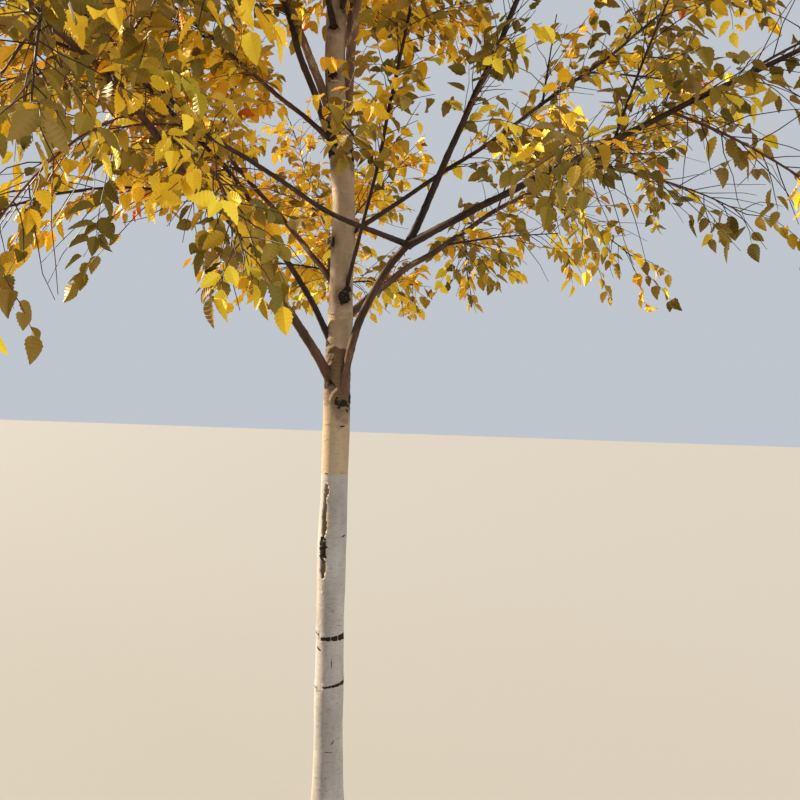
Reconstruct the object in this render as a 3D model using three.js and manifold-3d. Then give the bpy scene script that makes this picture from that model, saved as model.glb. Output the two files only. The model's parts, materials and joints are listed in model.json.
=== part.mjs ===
// A young white-barked birch in autumn leaf: one trunk that runs from the ground up into its leader, boughs
// that leave it from chest height upwards, and the masses of leafy twigs that boughs and trunk carry.
// Millimetres and degrees. +Z is up, the origin is the centre of the flat cut at ground level, -Y faces the
// viewer and +X is at the viewer's right. An azimuth of 0 points right, 90 away, 180 left and 270 at the
// viewer.

import * as THREE from "three";
import { mergeVertices } from "three/addons/utils/BufferGeometryUtils.js";
import Module from "manifold-3d";

// The trunk.
const LEADER_HEIGHT = 6950; // where the leader's tip would end if the trunk ran on bare
const TRUNK_TOP = 6250; // where the trunk gives way to the leader's twigs
const STEM_RADIUS = 52; // the clear stem, over the tip's radius
const TIP_RADIUS = 4;
const TAPER = 0.75;
const FLARE_RADIUS = 25; // how far the roots swell the foot
const FLARE_HEIGHT = 75; // the height over which that swelling falls to a third
const ROOT_LOBES = [
  { count: 3, share: 0.32, phase: 20 },
  { count: 5, share: 0.18, phase: 75 },
];
const TRUNK_SIDES = 16;
const TRUNK_RINGS = 22;
const RING_CROWDING = 1.35; // over 1, the rings stand closer together near the ground
// The trunk steps aside where it has thrown a strong fork, by these amounts between these heights.
const TRUNK_BENDS = [
  { from: 0, to: 1000, right: -14, away: 8 },
  { from: 2250, to: 2950, right: -56, away: 22 },
  { from: 3500, to: 4900, right: 60, away: -34 },
  { from: 5000, to: 6600, right: -45, away: 18 },
];

// Every limb, from where it leaves the trunk to its last bud.
const LIMB_STEPS = 12;
const LIMB_TAPER = 0.85;
const LIMB_TIP_RADIUS = 2.6;
const UNDER_BARK = 2; // how far inside the trunk's surface a limb's foot lies
const COLLAR = 0.35; // the swelling at a limb's foot, as a share of its radius
const COLLAR_LENGTH = 60;
const WANDER = 5; // how far a limb strays to either side of its heading
const WANDER_RATE = 1.9;
const BOUGH_SIDES = 6;
const FORK_DEPTH = 6; // how far a forked limb's foot is sunk in the limb below it
const GAP = 0.3; // the clearance between pieces that meet

// The limbs that the trunk throws between chest height and the first whorl. turn is how far the azimuth
// swings from foot to tip. Most of a limb's bending is near its foot where ease is under 1, and near its tip
// where it is over 1. bare is the number of steps with no leaves, which are the bough itself. reach is how
// long its side shoots are and shoots is how many it carries. lift is how much they turn upwards at each
// step, or downwards where it is negative.
const LOW_LIMBS = [
  { name: "right_low", height: 1560, azimuth: 304, turn: 42, rise: 80, tipRise: 44, ease: 1.3, length: 675,
    radius: 15.5, tipRadius: 13.5, bare: 12, reach: 0, shoots: 0 },
  { name: "right_riser", parent: "right_low", azimuth: 350, turn: 10, rise: 66, tipRise: 72, length: 2250,
    radius: 13, bare: 2, reach: 620, shoots: 8 },
  { name: "right_reach", parent: "right_low", azimuth: 327, turn: -6, rise: 21, tipRise: 15, length: 2000,
    radius: 13.5, bare: 3, reach: 820, shoots: 9, lift: -0.1 },
  { name: "front_cross", parent: "right_low", azimuth: 206, turn: 56, rise: 14, tipRise: 30, length: 1950,
    radius: 9.5, bare: 5, reach: 660, shoots: 9, lift: -0.2 },
  { name: "left_low", height: 1650, azimuth: 218, turn: 48, rise: 66, tipRise: 0, ease: 0.5, length: 2450,
    radius: 17.5, bare: 4, reach: 820, shoots: 12, lift: -0.24 },
  { name: "back_low", height: 1720, azimuth: 96, turn: 10, rise: 38, tipRise: 26, length: 2250,
    radius: 15, bare: 3, reach: 850, shoots: 8, lift: -0.08 },
  { name: "left_mid", height: 1800, azimuth: 198, turn: -6, rise: 64, tipRise: 14, length: 2300,
    radius: 11.5, bare: 3, reach: 850, shoots: 8, lift: -0.1 },
  { name: "back_right", height: 1900, azimuth: 42, turn: -10, rise: 36, tipRise: 24, length: 2200,
    radius: 14, bare: 3, reach: 850, shoots: 8, lift: -0.08 },
  { name: "front_right", height: 2000, azimuth: 306, turn: -36, rise: 66, tipRise: 54, length: 2150,
    radius: 7.5, bare: 2, reach: 740, shoots: 9, lift: -0.14 },
  { name: "back_left", height: 2020, azimuth: 140, turn: 4, rise: 44, tipRise: 30, length: 2250,
    radius: 11, bare: 3, reach: 850, shoots: 8, lift: -0.08 },
  { name: "right_mid", height: 2220, azimuth: 2, turn: 10, rise: 34, tipRise: 44, length: 2050,
    radius: 9, bare: 2, reach: 720, shoots: 8, lift: -0.05 },
  { name: "left_whorl", height: 2500, azimuth: 215, turn: -5, rise: 67, tipRise: 54, length: 2250,
    radius: 13.5, bare: 2, reach: 700, shoots: 8, lift: 0 },
  { name: "right_leader", height: 2520, azimuth: 8, turn: 10, rise: 88.5, tipRise: 62, length: 3250,
    radius: 19, bare: 3, reach: 640, shoots: 9 },
  { name: "left_upper", height: 2560, azimuth: 168, turn: -4, rise: 40, tipRise: 38, length: 1950,
    radius: 9.5, bare: 2, reach: 720, shoots: 8, lift: 0 },
  { name: "left_leader", height: 2620, azimuth: 184, turn: -14, rise: 69, tipRise: 72, length: 2750,
    radius: 16.5, bare: 3, reach: 680, shoots: 9, lift: 0 },
  { name: "back_whorl", height: 2760, azimuth: 84, turn: 14, rise: 58, tipRise: 44, length: 2000,
    radius: 12, bare: 2, reach: 720, shoots: 8, lift: 0 },
  { name: "front_upper", height: 2980, azimuth: 262, turn: 10, rise: 44, tipRise: 30, length: 1950,
    radius: 11, bare: 2, reach: 700, shoots: 7, lift: -0.06 },
];

// Above the whorl the limbs follow one rule, each a golden angle on from the last and shorter as it is
// higher. They are leafy from the trunk outwards.
const HIGH_LIMBS = { count: 10, lowest: 3050, highest: 5950, azimuth: 312, rise: 57, tipRise: 44, turn: 8 };
const HIGH_LENGTH = { lowest: 1750, highest: 520 };
const HIGH_REACH = { lowest: 640, highest: 300 };
const HIGH_RADIUS = { lowest: 11, highest: 6 };
const HIGH_SHOOTS = { lowest: 9, highest: 7 };
const HIGH_LEAVES = { lowest: 0.95, highest: 0.75 }; // their size beside the low limbs' leaves
const LEADER = { name: "leader", azimuth: 150, turn: 60, rise: 86, tipRise: 88, length: 570, bare: 0,
  reach: 330, shoots: 6, leaves: 0.7 };

// Twigs and leaves. Each leaf stands for a spray of real ones, so it is larger than life.
const GOLDEN_ANGLE = 137.508;
const STEM_SIDES = 4;
const SHOOT_SIDES = 3;
const SHOOT_STEPS = 4;
const FIRST_SHOOT = 0.55; // of the spacing of shoots, from the stem's foot
const SHOOT_SPLAY = { foot: 56, tip: 34 }; // between a shoot and the stem that carries it
const SHOOT_SCATTER = 40; // round the stem, besides the golden angle
const SHOOT_LIFT = 0.1; // where a limb names none
const SHOOT_TAPER = 0.55; // a shoot at the tip of its limb has lost this share of its length
const SHOOT_RADIUS = { foot: 5, tip: 2.4 };
const SHORTEST_SHOOT = 2; // steps
const SIZE_SCATTER = 0.15; // shoots and leaves are up to this share shorter or longer
const SLENDER = 0.8; // a shoot's foot is at most this share of its stem's radius
const SMOOTHING = 0.3; // the slivers that a joint leaves are drawn in by up to this much
const LEAF_LENGTH = 300;
const LEAF_WIDTH = 215;
const LEAF_THICKNESS = 11; // at the midrib; its edges are sharp
const LEAF_WIDEST = 0.42; // of its length, from the stalk
const LEAF_PLACES = [0.42, 0.7, 0.97]; // along a shoot
const LONG_SHOOT = 360; // a shorter one has no leaf at the first of these places
const LEAF_DROOP = { least: 0.1, most: 0.9 }; // the downward part of its heading, against its twig's
const LEAF_SPLAY = { least: 0.6, most: 0.9 }; // the sideways part
const LEAF_ROLL = 65; // to either side
// The outline of a leaf, at these shares of its length and width, is what has to fit in its mass's space.
const LEAF_OUTLINE = [[0.2, 0], [0.2, 0.25], [LEAF_WIDEST, 0.5], [0.7, 0.25], [1, 0], [0.7, -0.25],
  [LEAF_WIDEST, -0.5], [0.2, -0.25]];

// The space that a mass keeps to.
const LOWEST_LEAF = 1380;
const CLEAR_OF_LIMBS = 16;
const CLEAR_OF_NEIGHBOURS = 14; // how much nearer a point is to its own stem than to any other
const TEST_SPACING = 28;

const COLOURS = { bark: 0xe9dfd0, bough: 0x6b4a3a, leaf: [0xe8b21f, 0xc9982a, 0xa8902c] };

const wasm = await Module();
wasm.setup();
const { Manifold, Mesh } = wasm;
const { degToRad, lerp, smoothstep } = THREE.MathUtils;
const UP = new THREE.Vector3(0, 0, 1);

function seededRandom(seed) {
  let state = seed;
  return () => {
    state = (state * 1664525 + 1013904223) % 4294967296;
    return state / 4294967296;
  };
}

function scattered(random) {
  return 1 + SIZE_SCATTER * (2 * random() - 1);
}

function heading(azimuth, rise) {
  const [a, r] = [degToRad(azimuth), degToRad(rise)];
  return new THREE.Vector3(Math.cos(a) * Math.cos(r), Math.sin(a) * Math.cos(r), Math.sin(r));
}

function trunkCentre(height) {
  const centre = new THREE.Vector3(0, 0, height);
  for (const bend of TRUNK_BENDS) {
    const share = smoothstep(height, bend.from, bend.to);
    centre.x += bend.right * share;
    centre.y += bend.away * share;
  }
  return centre;
}

function trunkRadius(height) {
  const left = Math.max(0, 1 - height / LEADER_HEIGHT);
  return TIP_RADIUS + STEM_RADIUS * left ** TAPER;
}

// The root flare at a height, on one side of the trunk. angle is in radians, anticlockwise from above.
function rootFlare(height, angle) {
  let lobes = 1;
  for (const { count, share, phase } of ROOT_LOBES) {
    lobes += share * Math.cos(count * angle + degToRad(phase));
  }
  return FLARE_RADIUS * lobes * Math.exp(-height / FLARE_HEIGHT);
}

// Turns closed three.js geometry into a solid.
function solidFrom(geometry) {
  geometry.deleteAttribute("normal");
  geometry.deleteAttribute("uv");
  const merged = mergeVertices(geometry, 1e-4);
  return new Manifold(
    new Mesh({
      numProp: 3,
      vertProperties: Float32Array.from(merged.attributes.position.array),
      triVerts: Uint32Array.from(merged.index.array),
    }),
  );
}

function geometryFrom(solid) {
  const { vertProperties, triVerts } = solid.getMesh();
  const geometry = new THREE.BufferGeometry();
  geometry.setAttribute("position", new THREE.BufferAttribute(Float32Array.from(vertProperties), 3));
  geometry.setIndex(new THREE.BufferAttribute(Uint32Array.from(triVerts), 1));
  geometry.computeVertexNormals();
  return geometry;
}

// A closed cylinder bent along stations, each with a point, its direction along the limb and a radius.
function sweep(stations, sides, radiusAt = (station) => station.radius) {
  const last = stations.length - 1;
  const geometry = new THREE.CylinderGeometry(1, 1, 1, sides, last);
  const frames = [];
  let across = new THREE.Vector3(1, 0, 0);
  if (Math.abs(stations[0].along.x) > 0.9) across.set(0, 1, 0);
  for (const { along } of stations) {
    across = across.clone().addScaledVector(along, -across.dot(along)).normalize();
    frames.push({ across, beside: new THREE.Vector3().crossVectors(across, along) });
  }
  const position = geometry.attributes.position;
  for (let i = 0; i < position.count; i += 1) {
    const [x, y, z] = [position.getX(i), position.getY(i), position.getZ(i)];
    const ring = Math.round((y + 0.5) * last);
    const { across: u, beside: v } = frames[ring];
    const outward = new THREE.Vector3().addScaledVector(u, x).addScaledVector(v, z);
    const radius = radiusAt(stations[ring], Math.atan2(outward.y, outward.x));
    const point = stations[ring].point.clone().addScaledVector(outward, radius);
    position.setXYZ(i, point.x, point.y, point.z);
  }
  return solidFrom(geometry);
}

function trunkSolid(margin = 0) {
  const stations = [];
  for (let ring = 0; ring <= TRUNK_RINGS; ring += 1) {
    const height = (TRUNK_TOP + margin) * (ring / TRUNK_RINGS) ** RING_CROWDING;
    stations.push({ point: trunkCentre(height), along: UP, radius: trunkRadius(height) + margin });
  }
  const radiusAt = ({ point, radius }, angle) => radius + rootFlare(point.z, angle);
  return sweep(stations, TRUNK_SIDES, radiusAt);
}

// The stations of a whole limb, from its foot to its last bud.
function limbStations(limb, start) {
  const points = [start];
  const stride = limb.length / LIMB_STEPS;
  for (let step = 0; step < LIMB_STEPS; step += 1) {
    const share = ((step + 0.5) / LIMB_STEPS) ** (limb.ease ?? 1);
    const stray = WANDER * Math.sin(WANDER_RATE * step + degToRad(limb.azimuth));
    const rise = lerp(limb.rise, limb.tipRise, share) + stray / 2;
    const way = heading(limb.azimuth + limb.turn * share + stray, rise);
    points.push(points[step].clone().addScaledVector(way, stride));
  }
  const tipRadius = limb.tipRadius ?? LIMB_TIP_RADIUS;
  return points.map((point, i) => {
    const before = points[Math.max(0, i - 1)];
    const after = points[Math.min(LIMB_STEPS, i + 1)];
    const collar = COLLAR * limb.radius * Math.exp((-i * stride) / COLLAR_LENGTH);
    const left = 1 - i / LIMB_STEPS;
    return {
      point,
      along: new THREE.Vector3().subVectors(after, before).normalize(),
      radius: tipRadius + (limb.radius - tipRadius) * left ** LIMB_TAPER + collar,
    };
  });
}

function footOnTrunk({ height, azimuth, radius }) {
  const out = trunkRadius(height) - (1 + COLLAR) * radius - UNDER_BARK;
  return trunkCentre(height).addScaledVector(heading(azimuth, 0), out);
}

function footOnLimb(parent) {
  const tip = parent.stations.at(-1);
  return tip.point.clone().addScaledVector(tip.along, -FORK_DEPTH);
}

function footOnLeader() {
  return trunkCentre(TRUNK_TOP + GAP);
}

// The same stations, grown by the gap all round and at both ends.
function grown(stations) {
  return stations.map(({ point, along, radius }, i) => {
    const end = i === 0 ? -GAP : i === stations.length - 1 ? GAP : 0;
    return { point: point.clone().addScaledVector(along, end), along, radius: radius + GAP };
  });
}

function highLimbs() {
  const limbs = [];
  for (let i = 0; i < HIGH_LIMBS.count; i += 1) {
    const share = i / (HIGH_LIMBS.count - 1);
    const between = ({ lowest, highest }) => lerp(lowest, highest, share);
    limbs.push({
      ...HIGH_LIMBS,
      name: `high_${i + 1}`,
      height: between(HIGH_LIMBS),
      azimuth: (HIGH_LIMBS.azimuth + i * GOLDEN_ANGLE) % 360,
      length: between(HIGH_LENGTH),
      reach: between(HIGH_REACH),
      radius: between(HIGH_RADIUS),
      shoots: Math.round(between(HIGH_SHOOTS)),
      leaves: between(HIGH_LEAVES),
      bare: 0,
    });
  }
  return limbs;
}

// Lays out every limb: its stations, how many of them are bough, and the seed of its twigs.
function layOutLimbs() {
  const laid = new Map();
  const limbs = [...LOW_LIMBS, ...highLimbs(), { ...LEADER, radius: trunkRadius(TRUNK_TOP) }];
  limbs.forEach((limb, i) => {
    const parent = laid.get(limb.parent);
    let foot = limb.name === LEADER.name ? footOnLeader() : null;
    foot ??= parent ? footOnLimb(parent) : footOnTrunk(limb);
    const stations = limbStations(limb, foot);
    if (limb.name === LEADER.name) stations[0].along = UP;
    laid.set(limb.name, { ...limb, parent, stations, seed: 101 + 37 * i });
  });
  return [...laid.values()];
}

const segment = new THREE.Line3();
const nearest = new THREE.Vector3();

// How far a point is from a run of stations, less their radius where solid is true.
function distanceTo(stations, point, solid) {
  let least = Infinity;
  for (let i = 1; i < stations.length; i += 1) {
    segment.set(stations[i - 1].point, stations[i].point);
    segment.closestPointToPoint(point, true, nearest);
    const radius = solid ? Math.max(stations[i - 1].radius, stations[i].radius) : 0;
    least = Math.min(least, nearest.distanceTo(point) - radius);
  }
  return least;
}

// The leafy end of a limb, which bends at every other station.
function stemOf(limb) {
  const isKept = (i) => i === limb.bare || i === LIMB_STEPS || (i > limb.bare && i % 2 === 0);
  return limb.stations.filter((_, i) => isKept(i));
}

function boughOf(limb) {
  return limb.stations.slice(0, limb.bare + 1);
}

// True where a mass may grow: off the trunk and the boughs, over the clear stem, and nearest its own stem.
function isFree(point, owner, limbs) {
  if (point.z < LOWEST_LEAF) return false;
  const centre = trunkCentre(Math.min(point.z, TRUNK_TOP));
  if (point.distanceTo(centre) < trunkRadius(point.z) + CLEAR_OF_LIMBS) return false;
  const own = distanceTo(stemOf(owner), point, false);
  return limbs.every((limb) => {
    if (limb.bare && distanceTo(boughOf(limb), point, true) < CLEAR_OF_LIMBS) return false;
    const rival = limb !== owner && limb.shoots > 0;
    return !rival || distanceTo(stemOf(limb), point, false) > own + CLEAR_OF_NEIGHBOURS;
  });
}

function isClearRun(from, to, owner, limbs) {
  const pieces = Math.ceil(from.distanceTo(to) / TEST_SPACING);
  for (let i = 1; i <= pieces; i += 1) {
    if (!isFree(from.clone().lerp(to, i / pieces), owner, limbs)) return false;
  }
  return true;
}

// A point part of the way along some stations, with the direction and the radius there.
function placeOn(stations, share) {
  const place = share * (stations.length - 1);
  const i = Math.min(Math.floor(place), stations.length - 2);
  const [a, b, t] = [stations[i], stations[i + 1], place - i];
  return {
    point: a.point.clone().lerp(b.point, t),
    along: a.along.clone().lerp(b.along, t).normalize(),
    radius: lerp(a.radius, b.radius, t),
  };
}

// A direction square to another, turned round it by an angle in degrees from the horizontal.
function sideways(way, roll) {
  return new THREE.Vector3().crossVectors(way, UP).normalize().applyAxisAngle(way, degToRad(roll));
}

// The side shoots of a limb, each a foot and a tip. A shoot stops where it would leave its limb's space.
function growShoots(limb, limbs) {
  const random = seededRandom(limb.seed);
  const shoots = [];
  for (let i = 0; i < limb.shoots; i += 1) {
    const share = (i + FIRST_SHOOT) / limb.shoots;
    const foot = placeOn(stemOf(limb), share);
    const splay = degToRad(lerp(SHOOT_SPLAY.foot, SHOOT_SPLAY.tip, share));
    const side = sideways(foot.along, i * GOLDEN_ANGLE + SHOOT_SCATTER * random());
    const stride = (limb.reach * (1 - SHOOT_TAPER * share) * scattered(random)) / SHOOT_STEPS;
    const way = foot.along.clone().multiplyScalar(Math.cos(splay)).addScaledVector(side, Math.sin(splay));
    const points = [foot.point];
    while (points.length <= SHOOT_STEPS) {
      const next = points.at(-1).clone().addScaledVector(way, stride);
      if (!isClearRun(points.at(-1), next, limb, limbs)) break;
      points.push(next);
      way.z += limb.lift ?? SHOOT_LIFT;
      way.normalize();
    }
    if (points.length <= SHORTEST_SHOOT) continue;
    const along = new THREE.Vector3().subVectors(points.at(-1), points[0]).normalize();
    const radius = Math.min(SHOOT_RADIUS.foot, SLENDER * foot.radius);
    shoots.push([
      { point: points[0], along, radius },
      { point: points.at(-1), along, radius: SHOOT_RADIUS.tip },
    ]);
  }
  return shoots;
}

// A leaf is a six-faced blade, pointed at both ends, widest nearer its stalk and raised along its midrib.
function leafSolid(foot, way, normal, size) {
  const geometry = new THREE.SphereGeometry(1, 3, 2);
  const beside = new THREE.Vector3().crossVectors(way, normal);
  const position = geometry.attributes.position;
  for (let i = 0; i < position.count; i += 1) {
    const [x, y, z] = [position.getX(i), position.getY(i), position.getZ(i)];
    const run = size * LEAF_LENGTH * (y < -0.5 ? 0 : y > 0.5 ? 1 : LEAF_WIDEST);
    const out = Math.abs(z) > 0.5 ? (Math.sign(z) * size * LEAF_WIDTH) / 2 : 0;
    const lift = x < -0.5 ? LEAF_THICKNESS : 0;
    const point = foot.clone().addScaledVector(way, run).addScaledVector(beside, out);
    point.addScaledVector(normal, lift);
    position.setXYZ(i, point.x, point.y, point.z);
  }
  return solidFrom(geometry);
}

function leafFits(foot, way, normal, size, owner, limbs) {
  const beside = new THREE.Vector3().crossVectors(way, normal);
  const widest = size * LEAF_WIDEST * LEAF_LENGTH;
  const ridge = foot.clone().addScaledVector(way, widest).addScaledVector(normal, LEAF_THICKNESS);
  const outline = LEAF_OUTLINE.map(([run, out]) => {
    const point = foot.clone().addScaledVector(way, size * run * LEAF_LENGTH);
    return point.addScaledVector(beside, size * out * LEAF_WIDTH);
  });
  return [ridge, ...outline].every((point) => isFree(point, owner, limbs));
}

// The leaves of a twig, to its left and right by turns, and hanging a little below it.
function leavesOn(twig, random, limb, limbs) {
  const leaves = [];
  const isLong = twig[0].point.distanceTo(twig.at(-1).point) > LONG_SHOOT;
  LEAF_PLACES.slice(isLong ? 0 : 1).forEach((place, i) => {
    const foot = placeOn(twig, place);
    const splay = (i % 2 ? 1 : -1) * lerp(LEAF_SPLAY.least, LEAF_SPLAY.most, random());
    const way = foot.along.clone().addScaledVector(sideways(foot.along, 0), splay);
    way.z -= lerp(LEAF_DROOP.least, LEAF_DROOP.most, random());
    way.normalize();
    const roll = degToRad(LEAF_ROLL * (2 * random() - 1));
    const normal = UP.clone().addScaledVector(way, -way.z).normalize().applyAxisAngle(way, roll);
    const size = (limb.leaves ?? 1) * scattered(random);
    if (!leafFits(foot.point, way, normal, size, limb, limbs)) return;
    leaves.push(leafSolid(foot.point, way, normal, size));
  });
  return leaves;
}

// One solid from many, with any loose scrap dropped.
function fuse(solids) {
  const pieces = Manifold.union(solids).simplify(SMOOTHING).decompose();
  return pieces.reduce((a, b) => (b.volume() > a.volume() ? b : a));
}

function massSolid(limb, limbs, trunkWithGap) {
  const random = seededRandom(limb.seed + 5);
  const stem = stemOf(limb).map((station) => ({ ...station }));
  const onTrunk = limb.bare === 0 && limb.name !== LEADER.name;
  if (limb.bare) stem[0].point = stem[0].point.clone().addScaledVector(stem[0].along, GAP);
  const shoots = growShoots(limb, limbs);
  const solids = [sweep(stem, STEM_SIDES)];
  for (const shoot of shoots) {
    solids.push(sweep(shoot, SHOOT_SIDES), ...leavesOn(shoot, random, limb, limbs));
  }
  solids.push(...leavesOn(stem.slice(-2), random, limb, limbs));
  const whole = fuse(solids);
  return onTrunk ? fuse([whole.subtract(trunkWithGap)]) : whole;
}

function boughSolid(limb, limbs, trunkWithGap) {
  let bough = sweep(boughOf(limb), BOUGH_SIDES).subtract(trunkWithGap);
  if (limb.parent) {
    bough = bough.subtract(sweep(grown(boughOf(limb.parent)), BOUGH_SIDES));
    const siblings = limbs.filter(({ parent }) => parent === limb.parent);
    const older = siblings.slice(0, siblings.indexOf(limb));
    for (const sibling of older) bough = bough.subtract(sweep(grown(boughOf(sibling)), BOUGH_SIDES));
  }
  return fuse([bough]);
}

function addMesh(group, name, solid, colour, roughness) {
  const material = new THREE.MeshStandardMaterial({ color: colour, roughness, metalness: 0 });
  const mesh = new THREE.Mesh(geometryFrom(solid), material);
  mesh.name = name;
  group.add(mesh);
}

function birch() {
  const tree = new THREE.Group();
  const limbs = layOutLimbs();
  const trunkWithGap = trunkSolid(GAP);
  addMesh(tree, "trunk", trunkSolid(), COLOURS.bark, 0.7);
  for (const limb of limbs.filter(({ bare }) => bare > 0)) {
    addMesh(tree, `bough_${limb.name}`, boughSolid(limb, limbs, trunkWithGap), COLOURS.bough, 0.75);
  }
  limbs
    .filter(({ shoots }) => shoots > 0)
    .forEach((limb, i) => {
      const colour = COLOURS.leaf[i % COLOURS.leaf.length];
      addMesh(tree, `foliage_${limb.name}`, massSolid(limb, limbs, trunkWithGap), colour, 0.6);
    });
  return tree;
}

export default birch();
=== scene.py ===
"""A young white-barked birch in autumn leaf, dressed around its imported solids.

The trunk and every limb get a skin of bark with real relief. Each foliage mass becomes the shoots that
the solids grow, then finer twigs on them, then leaves in sprays. Metres, +Z up, -Y towards the viewer.
"""

import json
import math

import bmesh
import bpy
import numpy as np
from mathutils import Matrix, Vector, noise

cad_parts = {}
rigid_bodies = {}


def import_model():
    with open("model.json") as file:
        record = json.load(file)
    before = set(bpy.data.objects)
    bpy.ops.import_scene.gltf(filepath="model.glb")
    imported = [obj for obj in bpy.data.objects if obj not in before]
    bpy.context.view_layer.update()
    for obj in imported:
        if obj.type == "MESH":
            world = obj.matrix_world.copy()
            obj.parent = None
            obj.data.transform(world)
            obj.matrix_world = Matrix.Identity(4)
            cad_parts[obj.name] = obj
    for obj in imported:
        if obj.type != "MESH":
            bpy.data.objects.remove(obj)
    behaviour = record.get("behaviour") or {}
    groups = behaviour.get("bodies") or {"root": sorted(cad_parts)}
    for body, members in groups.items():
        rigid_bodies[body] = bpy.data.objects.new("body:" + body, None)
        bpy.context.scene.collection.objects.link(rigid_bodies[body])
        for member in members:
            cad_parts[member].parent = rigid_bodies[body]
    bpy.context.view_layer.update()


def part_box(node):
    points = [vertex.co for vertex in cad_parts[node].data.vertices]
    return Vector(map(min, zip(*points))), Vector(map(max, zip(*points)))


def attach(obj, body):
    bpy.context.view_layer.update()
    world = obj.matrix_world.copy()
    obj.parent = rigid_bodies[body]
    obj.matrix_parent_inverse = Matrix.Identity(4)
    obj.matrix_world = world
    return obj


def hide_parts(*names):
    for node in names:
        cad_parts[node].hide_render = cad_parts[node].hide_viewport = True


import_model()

ROOT = "root"
GOLDEN_ANGLE = 137.508

# The trunk.
LEADER_HEIGHT = 6.95
TRUNK_TOP = 6.25
STEM_RADIUS = 0.052
TIP_RADIUS = 0.004
TAPER = 0.75
FLARE_RADIUS = 0.025
FLARE_HEIGHT = 0.075
ROOT_LOBES = [(3, 0.32, 20), (5, 0.18, 75)]  # how many, their share of the flare, the first one's azimuth
TRUNK_BENDS = [  # from one height to another, right and away by these amounts
    (0.0, 1.0, -0.014, 0.008),
    (2.25, 2.95, -0.056, 0.022),
    (3.5, 4.9, 0.060, -0.034),
    (5.0, 6.6, -0.045, 0.018),
]

# The limbs, by the same rule as the solids. Angles are in degrees.
LIMB_STEPS = 12
LIMB_TAPER = 0.85
LIMB_TIP_RADIUS = 0.0026
UNDER_BARK = 0.002
COLLAR = 0.35
COLLAR_LENGTH = 0.06
WANDER = 5
WANDER_RATE = 1.9
FORK_DEPTH = 0.006
SHOOT_LIFT = 0.1
LIMB_FACTS = ("name", "parent", "height", "azimuth", "turn", "rise", "tip_rise", "length", "radius", "bare",
              "reach", "shoots", "lift", "bark")
LOW_LIMBS = [
    ("right_low", None, 1.56, 304, 42, 80, 44, 0.675, 0.0155, 12, 0, 0, SHOOT_LIFT, "russet"),
    ("right_riser", "right_low", 0, 350, 10, 66, 72, 2.25, 0.013, 2, 0.62, 8, SHOOT_LIFT, "dark"),
    ("right_reach", "right_low", 0, 327, -6, 21, 15, 2.0, 0.0135, 3, 0.82, 9, -0.1, "dark"),
    ("front_cross", "right_low", 0, 206, 56, 14, 30, 1.95, 0.0095, 5, 0.66, 9, -0.2, "dark"),
    ("left_low", None, 1.65, 218, 48, 66, 0, 2.45, 0.0175, 4, 0.82, 12, -0.24, "russet"),
    ("back_low", None, 1.72, 96, 10, 38, 26, 2.25, 0.015, 3, 0.85, 8, -0.08, "russet"),
    ("left_mid", None, 1.8, 198, -6, 64, 14, 2.3, 0.0115, 3, 0.85, 8, -0.1, "dark"),
    ("back_right", None, 1.9, 42, -10, 36, 24, 2.2, 0.014, 3, 0.85, 8, -0.08, "russet"),
    ("front_right", None, 2.0, 306, -36, 66, 54, 2.15, 0.0075, 2, 0.74, 9, -0.14, "dark"),
    ("back_left", None, 2.02, 140, 4, 44, 30, 2.25, 0.011, 3, 0.85, 8, -0.08, "russet"),
    ("right_mid", None, 2.22, 2, 10, 34, 44, 2.05, 0.009, 2, 0.72, 8, -0.05, "dark"),
    ("left_whorl", None, 2.5, 215, -5, 67, 54, 2.25, 0.0135, 2, 0.7, 8, 0, "dark"),
    ("right_leader", None, 2.52, 8, 10, 88.5, 62, 3.25, 0.019, 3, 0.64, 9, SHOOT_LIFT, "pink"),
    ("left_upper", None, 2.56, 168, -4, 40, 38, 1.95, 0.0095, 2, 0.72, 8, 0, "russet"),
    ("left_leader", None, 2.62, 184, -14, 69, 72, 2.75, 0.0165, 3, 0.68, 9, 0, "pink"),
    ("back_whorl", None, 2.76, 84, 14, 58, 44, 2.0, 0.012, 2, 0.72, 8, 0, "russet"),
    ("front_upper", None, 2.98, 262, 10, 44, 30, 1.95, 0.011, 2, 0.7, 7, -0.06, "dark"),
]
MORE_FACTS = {"right_low": dict(ease=1.3, tip_radius=0.0135), "left_low": dict(ease=0.5)}
HIGH_COUNT = 10
HIGH_LIMBS = dict(azimuth=312, rise=57, tip_rise=44, turn=8, bare=0, bark="russet")
HIGH_RANGES = dict(height=(3.05, 5.95), length=(1.75, 0.52), reach=(0.64, 0.3), radius=(0.011, 0.006),
                   shoots=(9, 7), leaves=(0.95, 0.75))
LEADER = dict(name="leader", azimuth=150, turn=60, rise=86, tip_rise=88, length=0.57, bare=0, reach=0.33,
              shoots=6, leaves=0.7, bark="russet")
GAP = 0.0003
FIRST_SEED, SEED_STEP = 101, 37

# The shoots, by the same rule as the solids.
SHOOT_STEPS = 4
FIRST_SHOOT = 0.55
SHOOT_SPLAY = (56, 34)
SHOOT_SCATTER = 40
SHOOT_TAPER = 0.55
SHOOT_RADIUS = (0.005, 0.0024)
SHORTEST_SHOOT = 2
SIZE_SCATTER = 0.15
SLENDER = 0.8
LOWEST_LEAF = 1.38
CLEAR_OF_LIMBS = 0.016
CLEAR_OF_NEIGHBOURS = 0.014
TEST_SPACING = 0.028

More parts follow.
